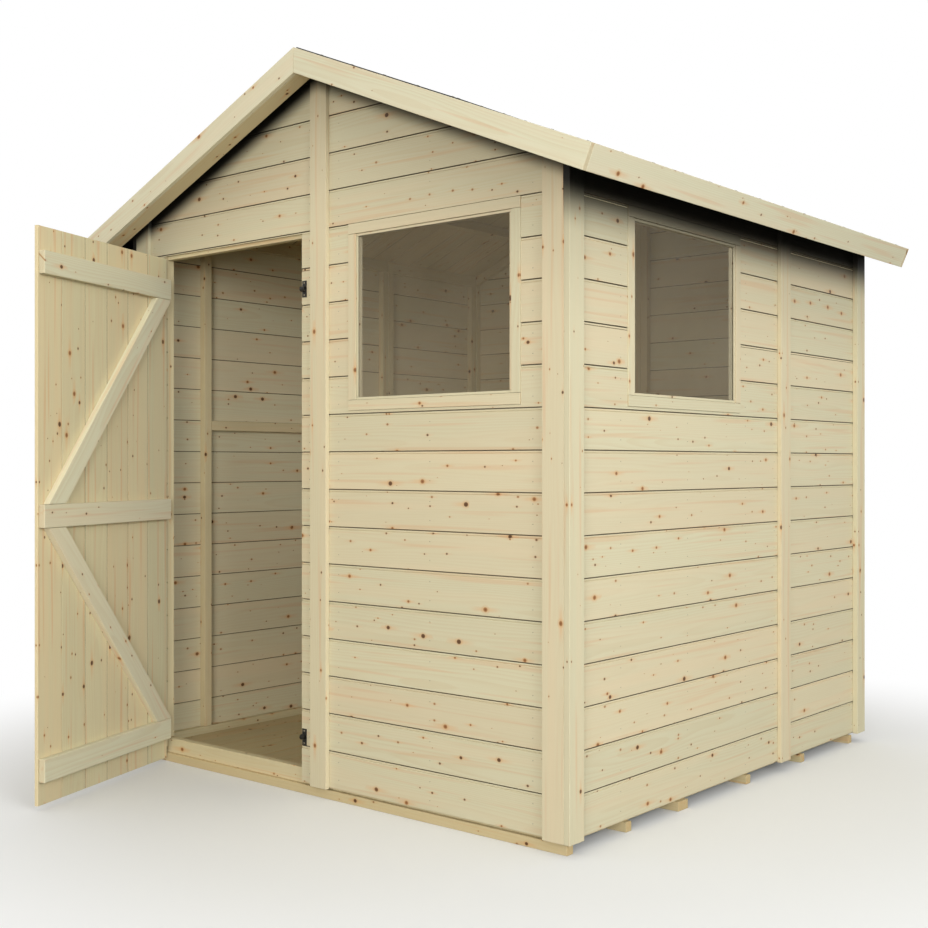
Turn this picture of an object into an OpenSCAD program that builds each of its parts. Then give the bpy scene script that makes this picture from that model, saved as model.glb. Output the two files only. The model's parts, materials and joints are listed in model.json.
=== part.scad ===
// Timber garden shed with an apex roof, a ledged and braced door and two fixed windows.
// Millimetres. X runs to the right along the front, Y to the back and Z up.
// The origin is the middle of the underside of the front floor bearer, on the ground.
// The door is drawn shut and then swung open by door_rest_angle about its hinge pins.

/* [Walls] */
// Width across the frames of the front wall, two panels side by side
wall_width = 1814; // [1700:1:2400]
// Depth from the front face of the front frame to the rear face of the rear frame
wall_depth = 1829; // [1600:1:3000]
// Height of the side walls at their outer face, from the ground
wall_height = 1860; // [1820:1:2200]
// Depth of the front panel of each side wall, from the front frame face
side_panel_depth = 1219; // [1100:1:1400]
// Thickness of the cladding
cladding_t = 12; // [9:0.5:20]
// Height of the foot of the cladding above the floor bearers
cladding_rise = 9; // [6:1:20]
// Depth of the wall framing into the room
frame_t = 27; // [20:1:45]
// Width of the face of a stud
stud_w = 32; // [28:1:45]
// Height of a horizontal rail in a wall frame
rail_h = 36; // [25:1:45]
// Height of the bottom rail of a wall frame
bottom_rail_h = 34; // [28:1:60]
// Height of the underside of the mid rails of the walls, from the ground
mid_rail_z = 1143; // [900:1:1155]
// Gap left between two timbers that are butted and nailed
butt_gap = 0.3; // [0.1:0.1:0.5]
// Distance from the front frame face to the inner stud of the left wall
left_stud_y = 245; // [150:1:600]

/* [Floor] */
// Height of a floor bearer
bearer_h = 28; // [24:1:60]
// Width of a floor bearer
bearer_w = 28; // [24:1:50]
// Depth of the front floor section, outside to outside of its bearers
front_section_depth = 589; // [500:1:700]
// Distance from the last bearer to the rear face of the rear frame
floor_inset_rear = 49; // [20:1:80]
// Thickness of the floor boards
floor_t = 9; // [8:0.5:20]
// Gap around the floor boards, inside the wall frames
floor_gap = 0.5; // [0.3:0.1:0.9]

/* [Trims] */
// Width of the corner boards of the front and rear walls
trim_w = 71; // [60:1:100]
// Thickness of the corner boards of the front and rear walls
trim_t = 15; // [10:0.5:22]
// Width of the corner boards of the side walls
side_trim_w = 67; // [56:1:100]
// Thickness of the corner boards of the side walls
side_trim_t = 19; // [12:0.5:24]
// Width of the strips that cover the panel joints
strip_w = 71; // [60:1:110]
// Thickness of the strips that cover the panel joints
strip_t = 15; // [10:0.5:22]
// How far the trims run down past the foot of the cladding
trim_drop = 5; // [0:1:20]

/* [Roof] */
// Pitch of each roof slope
roof_pitch = 23; // [18:0.5:30]
// Reach of the roof past the side walls, level, to the top of the fascia
eaves_overhang = 155; // [120:1:220]
// Reach of the roof in front of the front corner trims
front_overhang = 101; // [80:1:160]
// Reach of the roof behind the rear corner trims
rear_overhang = 75; // [60:1:160]
// Thickness of the roof boards
roof_board_t = 12; // [9:0.5:20]
// Thickness of the roofing felt
felt_t = 3; // [2:0.5:4]
// Reach of the ridge sheet of felt down each slope
top_felt_reach = 690; // [450:10:800]
// Width of the fascia and barge boards
barge_w = 71; // [60:1:100]
// Thickness of the fascia and barge boards
barge_t = 15; // [10:0.5:22]
// Width of the rails under the front and rear edge of the roof
verge_rail_w = 57; // [40:1:60]
// Thickness of the rails along the roof
roof_rail_t = 27; // [20:1:40]
// Depth of the rails along the roof below the boards
roof_rail_h = 44; // [30:1:50]

/* [Doorway and door] */
// Clear width of cladding between the corner trim and the doorway
hinge_strip_w = 73; // [60:1:100]
// Clear width of cladding between the doorway and the cover strip
latch_strip_w = 51; // [42:1:80]
// Drop from the top of the side walls to the top of the doorway
head_drop = 126; // [121:1:200]
// How far the head rail shows below the cladding
head_show = 12; // [8:1:26]
// Gap between the free edge of the door and the doorway
door_free_gap = 11; // [6:1:20]
// Gap between the top of the door and the top of the doorway
door_head_gap = 12; // [6:1:20]
// Gap between the shut door and the cladding behind it
door_clearance = 5; // [5:0.5:8]
// Height of the foot of the door above the ground
door_foot = 15; // [8:1:30]
// Thickness of the boards of the door
door_board_t = 12; // [9:0.5:18]
// Thickness of the ledges and braces
ledge_t = 22; // [15:0.5:30]
// Width of a ledge
ledge_w = 70; // [55:1:90]
// Width of a brace
brace_w = 62; // [50:1:80]
// Height of the sill of the doorway
sill_h = 49; // [40:1:70]
// Gap between the sill and the low ledge of the shut door
ledge_sill_gap = 6; // [5:0.5:12]
// Distance from the top of the top ledge to the top of the door
top_ledge_drop = 73; // [50:1:100]
// Distance that the ledges stop short of the door's free edge
ledge_free_inset = 3; // [2:0.5:10]
// Distance that the ledges stop short of the door's hinge edge
ledge_hinge_inset = 5; // [5:0.5:10]
// Distance from the end of a brace to the end of its ledge, at the hinge side
brace_inset = 20; // [5:1:40]
// Angle by which the door stands open
door_rest_angle = 70; // [0:1:110]

/* [Windows] */
// Distance from the front window to the cover strip
window_to_strip = 82.5; // [60:0.5:120]
// Distance from the front window to the corner trim
window_to_trim = 80.5; // [60:0.5:120]
// Height of a window over its trims
window_h = 558; // [400:1:570]
// Drop from the top of the side walls to the top of a window
window_drop = 122; // [106:1:200]
// Width of a window trim
window_trim_w = 31; // [26:1:45]
// Thickness of a window trim, which is let into the cladding down to the pane
window_trim_t = 7; // [6.5:0.5:12]
// Distance from the front frame face to the middle of the right window
right_window_y = 602; // [500:1:640]
// How far the glazing beads show inside the trims
bead_show = 8; // [5:0.5:12]
// Depth of the pane behind the face of the cladding
glass_out = 4; // [3:0.5:6]
// Thickness of the glazing
glass_t = 4; // [2:0.5:4]

/* [Ironmongery] */
// Diameter of a hinge pin
hinge_pin_d = 5; // [4:0.5:6]
// Diameter of a hinge knuckle
knuckle_d = 9; // [8.5:0.5:12]
// Distance of the hinge pins from the hinge edge of the door
pin_inset = 8.6; // [7:0.1:12]
// Gap between the knuckles and the face of the door
pin_gap = 0.1; // [0.1:0.1:1]
// Gap between a hinge pin and the knuckle that turns on it
pin_play = 0.3; // [0.2:0.1:0.5]
// Thickness of the hinge plates and straps
plate_t = 2.5; // [2:0.5:4]
// Length of a hinge strap from its pin
strap_len = 300; // [200:1:400]
// Length of the level part of a hinge strap from its pin
strap_root_len = 20; // [14:1:40]
// Width of a hinge strap at its knuckle
strap_root_w = 36; // [30:1:45]
// Width of a hinge strap at its tip
strap_tip_w = 18; // [12:1:25]
// Height of the fixed plate of a hinge
hinge_plate_h = 110; // [90:1:130]
// Width of the fixed plate of a hinge
hinge_plate_w = 32; // [26:1:38]
// Distance from a hinge pin to the crank of its fixed plate
crank_reach = 20; // [16:0.5:26]
// Distance from the foot and the top of the door to its bolts
bolt_inset = 161; // [140:1:200]
// Length of the bar of a slide bolt
bolt_len = 90; // [70:1:140]
// Length of the tip of a slide bolt, past its neck
bolt_tip_len = 30; // [24:1:40]
// Distance from the tip of a drawn bolt to the free edge of the door
bolt_setback = 16; // [14:1:30]
// Diameter of the bar of a slide bolt
bolt_d = 8; // [6:0.5:10]
// Height of the back plate of a slide bolt
bolt_plate_h = 30; // [24:1:40]
// Height of a bolt keep
keep_h = 51; // [40:1:60]
// Width of a bolt keep
keep_w = 18; // [14:1:24]
// Distance from the doorway to a bolt keep
keep_gap = 4; // [2:0.5:8]
// Thickness of the bow of a bolt keep
keep_bow_t = 2.5; // [2:0.5:3]
// Gap between a bolt and the bow of its keep
keep_play = 1.5; // [1:0.5:3]

/* [Hidden] */
$fn = 48;

pine = "#d9cda9";
pine_inside = "#c9b88c";
felt_black = "#2c2c2e";
iron_black = "#1d1d1f";
glass_tint = "#b9c4c0";

// Planes of the walls
half_w = wall_width / 2;
clad_x = half_w + cladding_t;
frame_front_y = -bearer_w / 2 + cladding_t;
frame_rear_y = frame_front_y + wall_depth;
clad_front_y = frame_front_y - cladding_t;
clad_rear_y = frame_rear_y + cladding_t;
room_front_y = frame_front_y + frame_t;
room_rear_y = frame_rear_y - frame_t;
side_joint_y = frame_front_y + side_panel_depth;
floor_z = bearer_h + floor_t;
stud_foot = bearer_h + bottom_rail_h + butt_gap;
seat_t = roof_board_t + butt_gap;
stud_top_t = seat_t + rail_h + butt_gap;
cladding_foot = bearer_h + cladding_rise;
trim_foot = cladding_foot - trim_drop;
sill_top = bearer_h + sill_h;

// Roof: t counts down from the top of the boards, square to the slope
apex_z = wall_height + clad_x * tan(roof_pitch) + roof_board_t / cos(roof_pitch);
roof_half_w = clad_x + eaves_overhang;
slope_len = roof_half_w / cos(roof_pitch);
fascia_d = slope_len - barge_t;
eaves_d = fascia_d - butt_gap;
barge_front_y = clad_front_y - trim_t - front_overhang;
barge_rear_y = clad_rear_y + trim_t + rear_overhang;
roof_front_y = barge_front_y + barge_t;
roof_rear_y = barge_rear_y - barge_t;

function roof_z(x, t) = apex_z - abs(x) * tan(roof_pitch) - t / cos(roof_pitch);
function on_slope(d, t) = [
    d * cos(roof_pitch) - t * sin(roof_pitch),
    apex_z - d * sin(roof_pitch) - t * cos(roof_pitch)
];

// Doorway and door, shut
doorway_left = -clad_x + trim_w + hinge_strip_w;
doorway_right = -strip_w / 2 - latch_strip_w;
doorway_top = wall_height - head_drop;
head_rail_z = doorway_top - head_show;
door_left = doorway_left;
door_right = doorway_right - door_free_gap;
door_top = doorway_top - door_head_gap;
door_inner_y = clad_front_y - door_clearance;
door_outer_y = door_inner_y - door_board_t;
ledge_inner_y = door_inner_y + ledge_t;
low_ledge_z = sill_top + ledge_sill_gap;
top_ledge_z = door_top - top_ledge_drop - ledge_w;
mid_ledge_z = (low_ledge_z + top_ledge_z) / 2;
ledge_z = [low_ledge_z, mid_ledge_z, top_ledge_z];
ledge_left = door_left + ledge_hinge_inset;
ledge_right = door_right - ledge_free_inset;

// Hinges and bolts
hinge_x = door_left + pin_inset;
hinge_y = door_outer_y - knuckle_d / 2 - pin_gap;
hinge_z = [for (z = ledge_z) z + ledge_w / 2];
bolt_z = [door_foot + bolt_inset, door_top - bolt_inset];
keep_face_y = clad_front_y - plate_t;

// Windows
window_w = clad_x - trim_w - window_to_trim - strip_w / 2 - window_to_strip;
window_z = wall_height - window_drop - window_h;
cut_w = window_w + 2 * butt_gap;
cut_h = window_h + 2 * butt_gap;
cut_z0 = window_z - butt_gap;
cut_z1 = cut_z0 + cut_h;
front_mid_x = strip_w / 2 + window_to_strip + window_w / 2;
front_cut_x0 = front_mid_x - cut_w / 2;
front_cut_x1 = front_mid_x + cut_w / 2;
right_mid_y = frame_front_y + right_window_y;
right_cut_y0 = right_mid_y - cut_w / 2;
right_cut_y1 = right_mid_y + cut_w / 2;

// An outline in X and Z, drawn through the shed from y0 to y1
module along_y(y0, y1) {
    translate([0, y1, 0]) rotate([90, 0, 0]) linear_extrude(y1 - y0) children();
}

// A box between two corners
module span(low, high) {
    translate(low) cube(high - low);
}

module left_and_right() {
    children();
    mirror([1, 0, 0]) children();
}

// Part of a gable wall from x0 to x1, cut to the underside of the roof boards
module gable_sheet(x0, x1, z0, y0, y1) {
    along_y(y0, y1)
        polygon([[x0, z0], [x1, z0], [x1, roof_z(x1, seat_t)], [x0, roof_z(x0, seat_t)]]);
}

// A right side wall slice between x0 and x1, cut to the slope of the roof
module side_sheet(x0, x1, z0, y0, y1) {
    along_y(y0, y1)
        polygon([
            [x0, z0], [x1, z0], [x1, roof_z(x1, seat_t)], [x0, roof_z(x0, seat_t)]
        ]);
}

// A band of the right roof slope from t0 to t1 deep and d0 to d1 down the slope
module slope_band(t0, t1, d0, d1) {
    polygon([on_slope(d0, t0), on_slope(d1, t0), on_slope(d1, t1), on_slope(d0, t1)]);
}

// The same band from a plumb cut at the ridge
module ridge_band(t0, t1, d1) {
    polygon([[0, roof_z(0, t0)], on_slope(d1, t0), on_slope(d1, t1), [0, roof_z(0, t1)]]);
}

// Floor
module floor_bearers() {
    front_start = -bearer_w / 2;
    rear_start = front_start + front_section_depth;
    front_pitch = (front_section_depth - bearer_w) / 2;
    rear_pitch = (frame_rear_y - floor_inset_rear - rear_start - bearer_w) / 3;
    color(pine) {
        for (i = [0:1])
            span([-clad_x, front_start + i * front_pitch, 0],
                 [clad_x, front_start + i * front_pitch + bearer_w, bearer_h]);
        // The two sections meet at a pair of bearers, drawn as one
        span([-clad_x, rear_start - bearer_w, 0], [clad_x, rear_start + bearer_w, bearer_h]);
        for (i = [1:3])
            span([-clad_x, rear_start + i * rear_pitch, 0],
                 [clad_x, rear_start + i * rear_pitch + bearer_w, bearer_h]);
    }
}

module floor_boards() {
    half = half_w - frame_t - floor_gap;
    color(pine_inside)
        span([-half, room_front_y + floor_gap, bearer_h], [half, room_rear_y - floor_gap, floor_z]);
}

// Frames of the gable walls, in timbers that butt against each other
module gable_stud(x, y0, y1, foot = stud_foot) {
    along_y(y0, y1)
        polygon([
            [x, foot], [x + stud_w, foot],
            [x + stud_w, roof_z(x + stud_w, stud_top_t)], [x, roof_z(x, stud_top_t)]
        ]);
}

module gable_top_rail(x0, x1, y0, y1) {
    low_t = seat_t + rail_h;
    along_y(y0, y1)
        polygon([
            [x0, roof_z(x0, low_t)], [x1, roof_z(x1, low_t)],
            [x1, roof_z(x1, seat_t)], [x0, roof_z(x0, seat_t)]
        ]);
}

module gable_bottom_rail(x0, x1, y0, y1) {
    span([x0, y0, bearer_h], [x1, y1, bearer_h + bottom_rail_h]);
}

// A level rail between two studs, with its gap at each end
module cross_rail(x0, x1, y0, y1, z) {
    span([x0 + butt_gap, y0, z], [x1 - butt_gap, y1, z + rail_h]);
}

// The rail across the foot of the door panel is also the sill of the doorway
module door_sill() {
    color(pine) span([-half_w, frame_front_y, bearer_h], [0, room_front_y, sill_top]);
}

module front_frame_door_side() {
    y0 = frame_front_y;
    y1 = room_front_y;
    color(pine_inside) {
        for (x = [-half_w, doorway_left - stud_w, doorway_right, -stud_w])
            gable_stud(x, y0, y1, sill_top + butt_gap);
        gable_top_rail(-half_w, 0, y0, y1);
        cross_rail(doorway_left, doorway_right, y0, y1, head_rail_z);
    }
}

module front_frame_window_side() {
    y0 = frame_front_y;
    y1 = room_front_y;
    color(pine_inside) {
        gable_bottom_rail(0, half_w, y0, y1);
        for (x = [0, front_cut_x0 - stud_w, front_cut_x1, half_w - stud_w]) gable_stud(x, y0, y1);
        gable_top_rail(0, half_w, y0, y1);
        cross_rail(front_cut_x0, front_cut_x1, y0, y1, cut_z0 - rail_h);
        cross_rail(front_cut_x0, front_cut_x1, y0, y1, cut_z1);
    }
}

module rear_frame() {
    y0 = room_rear_y;
    y1 = frame_rear_y;
    x0 = butt_gap / 2;
    mid_x = (half_w - stud_w) / 2;
    color(pine_inside)
        left_and_right() {
            gable_bottom_rail(x0, half_w, y0, y1);
            for (x = [x0, mid_x, half_w - stud_w]) gable_stud(x, y0, y1);
            gable_top_rail(x0, half_w, y0, y1);
            cross_rail(x0 + stud_w, mid_x, y0, y1, mid_rail_z);
            cross_rail(mid_x + stud_w, half_w - stud_w, y0, y1, mid_rail_z);
        }
}

// Cladding
module front_cladding_hinge_side() {
    color(pine) gable_sheet(-clad_x, doorway_left, cladding_foot, clad_front_y, frame_front_y);
}

module front_cladding_over_door() {
    color(pine) gable_sheet(doorway_left, doorway_right, doorway_top, clad_front_y, frame_front_y);
}

module front_cladding_latch_side() {
    color(pine) gable_sheet(doorway_right, 0, cladding_foot, clad_front_y, frame_front_y);
}

module front_cladding_window_side() {
    color(pine)
        difference() {
            gable_sheet(0, clad_x, cladding_foot, clad_front_y, frame_front_y);
            span([front_cut_x0, clad_front_y - 1, cut_z0], [front_cut_x1, frame_front_y + 1, cut_z1]);
        }
}

module rear_cladding_left() {
    color(pine) gable_sheet(-clad_x, 0, cladding_foot, frame_rear_y, clad_rear_y);
}

module rear_cladding_right() {
    color(pine) gable_sheet(0, clad_x, cladding_foot, frame_rear_y, clad_rear_y);
}

module right_cladding_front() {
    color(pine)
        difference() {
            side_sheet(half_w, clad_x, cladding_foot, frame_front_y, side_joint_y);
            span([half_w - 1, right_cut_y0, cut_z0], [clad_x + 1, right_cut_y1, cut_z1]);
        }
}

module right_cladding_rear() {
    color(pine) side_sheet(half_w, clad_x, cladding_foot, side_joint_y, frame_rear_y);
}

module left_cladding_front() {
    color(pine) mirror([1, 0, 0]) side_sheet(half_w, clad_x, cladding_foot, frame_front_y, side_joint_y);
}

module left_cladding_rear() {
    color(pine) mirror([1, 0, 0]) side_sheet(half_w, clad_x, cladding_foot, side_joint_y, frame_rear_y);
}

// Frames of the side walls, drawn on the right
side_frame_x = half_w - frame_t;
side_rail_z = roof_z(half_w, seat_t) - rail_h;

module side_stud(y) {
    span([side_frame_x, y, stud_foot], [half_w, y + stud_w, side_rail_z - butt_gap]);
}

module side_cross_rail(y0, y1, z) {
    span([side_frame_x, y0 + butt_gap, z], [half_w, y1 - butt_gap, z + rail_h]);
}

// The top and bottom rails and the end studs of a panel from y0 to y1
module side_panel(y0, y1) {
    span([side_frame_x, y0, bearer_h], [half_w, y1, bearer_h + bottom_rail_h]);
    side_sheet(side_frame_x, half_w, side_rail_z, y0, y1);
    side_stud(y0);
    side_stud(y1 - stud_w);
}

module side_panels() {
    side_panel(room_front_y, side_joint_y - butt_gap / 2);
    side_panel(side_joint_y + butt_gap / 2, room_rear_y);
}

module left_frame() {
    stud_y = frame_front_y + left_stud_y;
    joint_y = side_joint_y - butt_gap / 2 - stud_w;
    color(pine_inside)
        mirror([1, 0, 0]) {
            side_panels();
            side_stud(stud_y);
            side_cross_rail(stud_y + stud_w, joint_y, mid_rail_z);
            side_cross_rail(side_joint_y + butt_gap / 2 + stud_w, room_rear_y - stud_w, mid_rail_z);
        }
}

module right_frame() {
    color(pine_inside) {
        side_panels();
        side_stud(right_cut_y0 - stud_w);
        side_stud(right_cut_y1);
        side_cross_rail(right_cut_y0, right_cut_y1, cut_z0 - rail_h);
        side_cross_rail(right_cut_y0, right_cut_y1, cut_z1);
    }
}

// Trims and cover strips
module front_corner_trims() {
    color(pine)
        left_and_right()
            gable_sheet(clad_x - trim_w, clad_x, trim_foot, clad_front_y - trim_t, clad_front_y);
}

module rear_corner_trims() {
    color(pine)
        left_and_right()
            gable_sheet(clad_x - trim_w, clad_x, trim_foot, clad_rear_y, clad_rear_y + trim_t);
}

module side_corner_trims() {
    x0 = clad_x;
    x1 = clad_x + side_trim_t;
    front_y = clad_front_y - trim_t;
    rear_y = clad_rear_y + trim_t;
    color(pine)
        left_and_right() {
            side_sheet(x0, x1, trim_foot, front_y, front_y + side_trim_w);
            side_sheet(x0, x1, trim_foot, rear_y - side_trim_w, rear_y);
        }
}

module gable_strip(y0, y1) {
    half = strip_w / 2;
    along_y(y0, y1)
        polygon([
            [-half, trim_foot], [half, trim_foot], [half, roof_z(half, seat_t)],
            [0, roof_z(0, seat_t)], [-half, roof_z(half, seat_t)]
        ]);
}

module front_cover_strip() {
    color(pine) gable_strip(clad_front_y - strip_t, clad_front_y);
}

module rear_cover_strip() {
    color(pine) gable_strip(clad_rear_y, clad_rear_y + strip_t);
}

module side_cover_strips() {
    color(pine)
        left_and_right()
            side_sheet(clad_x, clad_x + strip_t, trim_foot,
                       side_joint_y - strip_w / 2, side_joint_y + strip_w / 2);
}

// Windows, drawn flat: X along the wall, Y up it and Z out of the face of the cladding
module board_ring(w, h, board, z0, z1) {
    translate([0, 0, z0])
        linear_extrude(z1 - z0)
            for (side = [-1, 1]) {
                translate([0, side * (h - board) / 2]) square([w, board], center = true);
                translate([side * (w - board) / 2, 0])
                    square([board, h - 2 * board - 2 * butt_gap], center = true);
            }
}

module window_frame() {
    bead_inset = 2 * (window_trim_w + butt_gap);
    bead_w = bead_show - butt_gap;
    board_ring(window_w, window_h, window_trim_w, -glass_out, window_trim_t - glass_out);
    board_ring(window_w - bead_inset, window_h - bead_inset, bead_w, -glass_out, -butt_gap);
    board_ring(window_w, window_h, window_trim_w + bead_show,
               -cladding_t - bead_show, -glass_out - glass_t);
}

module on_front_wall() {
    translate([front_mid_x, clad_front_y, window_z + window_h / 2])
        rotate([90, 0, 0]) children();
}

module on_right_wall() {
    translate([clad_x, right_mid_y, window_z + window_h / 2])
        rotate([90, 0, 90]) children();
}

module front_window_frame() {
    color(pine) on_front_wall() window_frame();
}

module right_window_frame() {
    color(pine) on_right_wall() window_frame();
}

module window_pane() {
    translate([0, 0, -glass_out - glass_t])
        linear_extrude(glass_t)
            square([window_w, window_h], center = true);
}

module window_glass() {
    color(glass_tint) {
        on_front_wall() window_pane();
        on_right_wall() window_pane();
    }
}

// Roof
module right_slope_boards() {
    along_y(roof_front_y, roof_rear_y) ridge_band(0, roof_board_t, eaves_d);
}

module right_slope_rails() {
    low_t = seat_t + roof_rail_h;
    middle_d = slope_len / 2;
    along_y(roof_front_y, roof_front_y + verge_rail_w)
        ridge_band(seat_t, barge_w - felt_t, eaves_d);
    along_y(roof_rear_y - verge_rail_w, roof_rear_y)
        ridge_band(seat_t, barge_w - felt_t, eaves_d);
    along_y(roof_front_y + verge_rail_w + butt_gap, roof_rear_y - verge_rail_w - butt_gap)
        slope_band(seat_t, low_t, eaves_d - roof_rail_t, eaves_d);
    along_y(room_front_y, room_rear_y) ridge_band(seat_t, low_t, roof_rail_t);
    along_y(room_front_y, room_rear_y) slope_band(seat_t, low_t, middle_d, middle_d + roof_rail_t);
}

module left_roof_boards() {
    color(pine_inside) mirror([1, 0, 0]) right_slope_boards();
}

module right_roof_boards() {
    color(pine_inside) right_slope_boards();
}

module left_roof_rails() {
    color(pine_inside) mirror([1, 0, 0]) right_slope_rails();
}

module right_roof_rails() {
    color(pine_inside) right_slope_rails();
}

module roof_felt() {
    color(felt_black)
        along_y(roof_front_y, roof_rear_y)
            left_and_right() ridge_band(-felt_t, 0, eaves_d);
}

module ridge_felt() {
    color(felt_black)
        along_y(roof_front_y, roof_rear_y)
            left_and_right() ridge_band(-2 * felt_t, -felt_t - butt_gap, top_felt_reach);
}

module eaves_fascias() {
    color(pine)
        left_and_right()
            along_y(roof_front_y, roof_rear_y)
                slope_band(-felt_t, barge_w - felt_t, fascia_d, slope_len);
}

module right_barge(y0) {
    along_y(y0, y0 + barge_t) ridge_band(-felt_t, barge_w - felt_t, slope_len);
}

module front_barge_right() {
    color(pine) right_barge(barge_front_y);
}

module front_barge_left() {
    color(pine) mirror([1, 0, 0]) right_barge(barge_front_y);
}

module rear_barge_right() {
    color(pine) right_barge(roof_rear_y);
}

module rear_barge_left() {
    color(pine) mirror([1, 0, 0]) right_barge(roof_rear_y);
}

// Door, drawn shut
module swung_open() {
    translate([hinge_x, hinge_y, 0])
        rotate([0, 0, -door_rest_angle])
            translate([-hinge_x, -hinge_y, 0]) children();
}

module door_boards() {
    color(pine)
        swung_open()
            span([door_left, door_outer_y, door_foot], [door_right, door_inner_y, door_top]);
}

module door_ledges() {
    color(pine)
        swung_open()
            for (z = ledge_z)
                span([ledge_left, door_inner_y, z], [ledge_right, ledge_inner_y, z + ledge_w]);
}

// A brace between two ledges, from x0 at its foot to x1 at its top
module brace(x0, z0, x1, z1, across) {
    foot_z = z0 + butt_gap;
    top_z = z1 - butt_gap;
    along_y(door_inner_y, ledge_inner_y)
        polygon([[x0, foot_z], [x0 + across, foot_z], [x1 + across, top_z], [x1, top_z]]);
}

module door_braces() {
    left = ledge_left;
    rise = mid_ledge_z - low_ledge_z - ledge_w;
    run = ledge_right - brace_inset - left - brace_w;
    across = brace_w * sqrt(run * run + rise * rise) / rise;
    right = ledge_right - brace_inset - across;
    color(pine)
        swung_open() {
            brace(right, mid_ledge_z + ledge_w, left, top_ledge_z, across);
            brace(left, low_ledge_z + ledge_w, right, mid_ledge_z, across);
        }
}

// Cranked tee hinges: the plate and its pin stay on the wall, the strap swings with the door
module hinge_plates() {
    crank_x = hinge_x - crank_reach;
    arm_y = hinge_y - knuckle_d / 2;
    collar_h = (hinge_plate_h - strap_root_w) / 2 - pin_play;
    color(iron_black)
        for (z = hinge_z)
            translate([0, 0, z - hinge_plate_h / 2]) {
                translate([hinge_x, hinge_y, 0]) cylinder(d = hinge_pin_d, h = hinge_plate_h);
                for (foot = [0, hinge_plate_h - collar_h])
                    translate([0, 0, foot]) {
                        translate([hinge_x, hinge_y, 0]) cylinder(d = knuckle_d, h = collar_h);
                        span([crank_x, arm_y, 0], [hinge_x, arm_y + plate_t, collar_h]);
                        span([crank_x, arm_y, 0], [crank_x + plate_t, clad_front_y, collar_h]);
                    }
                span([crank_x - hinge_plate_w, keep_face_y, 0],
                     [crank_x + plate_t, clad_front_y, hinge_plate_h]);
            }
}

module hinge_straps() {
    leaf_x = hinge_x + strap_root_len;
    half_root = strap_root_w / 2;
    half_tip = strap_tip_w / 2;
    color(iron_black)
        swung_open()
            for (z = hinge_z)
                difference() {
                    union() {
                        translate([hinge_x, hinge_y, z - half_root])
                            cylinder(d = knuckle_d, h = strap_root_w);
                        along_y(door_outer_y - plate_t, door_outer_y)
                            polygon([
                                [hinge_x, z - half_root], [leaf_x, z - half_root],
                                [hinge_x + strap_len, z - half_tip], [hinge_x + strap_len, z + half_tip],
                                [leaf_x, z + half_root], [hinge_x, z + half_root]
                            ]);
                    }
                    translate([hinge_x, hinge_y, z - strap_root_w])
                        cylinder(d = hinge_pin_d + 2 * pin_play, h = 2 * strap_root_w);
                }
}

// Slide bolts. Shot, the tip of a bolt lies in its keep, nearer the wall than its bar.
bar_y = door_outer_y - plate_t - bolt_d / 2;
tip_y = keep_face_y - bolt_d / 2;

// They are drawn back, with the neck turned up so that it clears the edge of the door
module door_bolts() {
    tip_x = door_right - bolt_setback;
    neck_x = tip_x - bolt_tip_len;
    neck_end = bolt_d / 2 + butt_gap;
    color(iron_black)
        swung_open()
            for (z = bolt_z) {
                span([neck_x - bolt_len, door_outer_y - plate_t, z - bolt_plate_h / 2],
                     [tip_x, door_outer_y, z + bolt_plate_h / 2]);
                translate([neck_x - bolt_len, bar_y, z])
                    rotate([0, 90, 0]) cylinder(d = bolt_d, h = bolt_len + neck_end);
                translate([neck_x, bar_y, z]) cylinder(d = bolt_d, h = tip_y - bar_y);
                translate([neck_x - neck_end, bar_y, z + tip_y - bar_y])
                    rotate([0, 90, 0]) cylinder(d = bolt_d, h = neck_end + bolt_tip_len);
            }
}

module bolt_keeps() {
    keep_x = doorway_right + keep_gap;
    bow_in = bolt_d + 2 * keep_play;
    bow_out = bow_in + 2 * keep_bow_t;
    color(iron_black)
        for (z = bolt_z) {
            span([keep_x, keep_face_y, z - keep_h / 2], [keep_x + keep_w, clad_front_y, z + keep_h / 2]);
            translate([keep_x, 0, z])
                rotate([90, 0, 90])
                    linear_extrude(keep_w)
                        difference() {
                            union() {
                                translate([tip_y, 0]) circle(d = bow_out);
                                translate([tip_y, -bow_out / 2]) square([keep_face_y - tip_y, bow_out]);
                            }
                            translate([tip_y, 0]) circle(d = bow_in);
                            translate([tip_y, -bow_in / 2]) square([bow_out, bow_in]);
                            translate([keep_face_y, -bow_out / 2]) square([bow_out, bow_out]);
                        }
        }
}

floor_bearers();
floor_boards();
door_sill();
front_frame_door_side();
front_frame_window_side();
front_cladding_hinge_side();
front_cladding_over_door();
front_cladding_latch_side();
front_cladding_window_side();
left_frame();
left_cladding_front();
left_cladding_rear();
right_frame();
right_cladding_front();
right_cladding_rear();
rear_frame();
rear_cladding_left();
rear_cladding_right();
front_corner_trims();
rear_corner_trims();
side_corner_trims();
front_cover_strip();
rear_cover_strip();
side_cover_strips();
front_window_frame();
right_window_frame();
window_glass();
left_roof_boards();
right_roof_boards();
left_roof_rails();
right_roof_rails();
roof_felt();
ridge_felt();
eaves_fascias();
front_barge_left();
front_barge_right();
rear_barge_left();
rear_barge_right();
hinge_plates();
bolt_keeps();
door_boards();
door_ledges();
door_braces();
hinge_straps();
door_bolts();
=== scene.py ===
"""Looks of the timber garden shed: boards, grain, felt, ironmongery, glazing and light."""

import json
import math
import random

import bmesh
import bpy
from mathutils import Matrix, Vector


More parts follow.
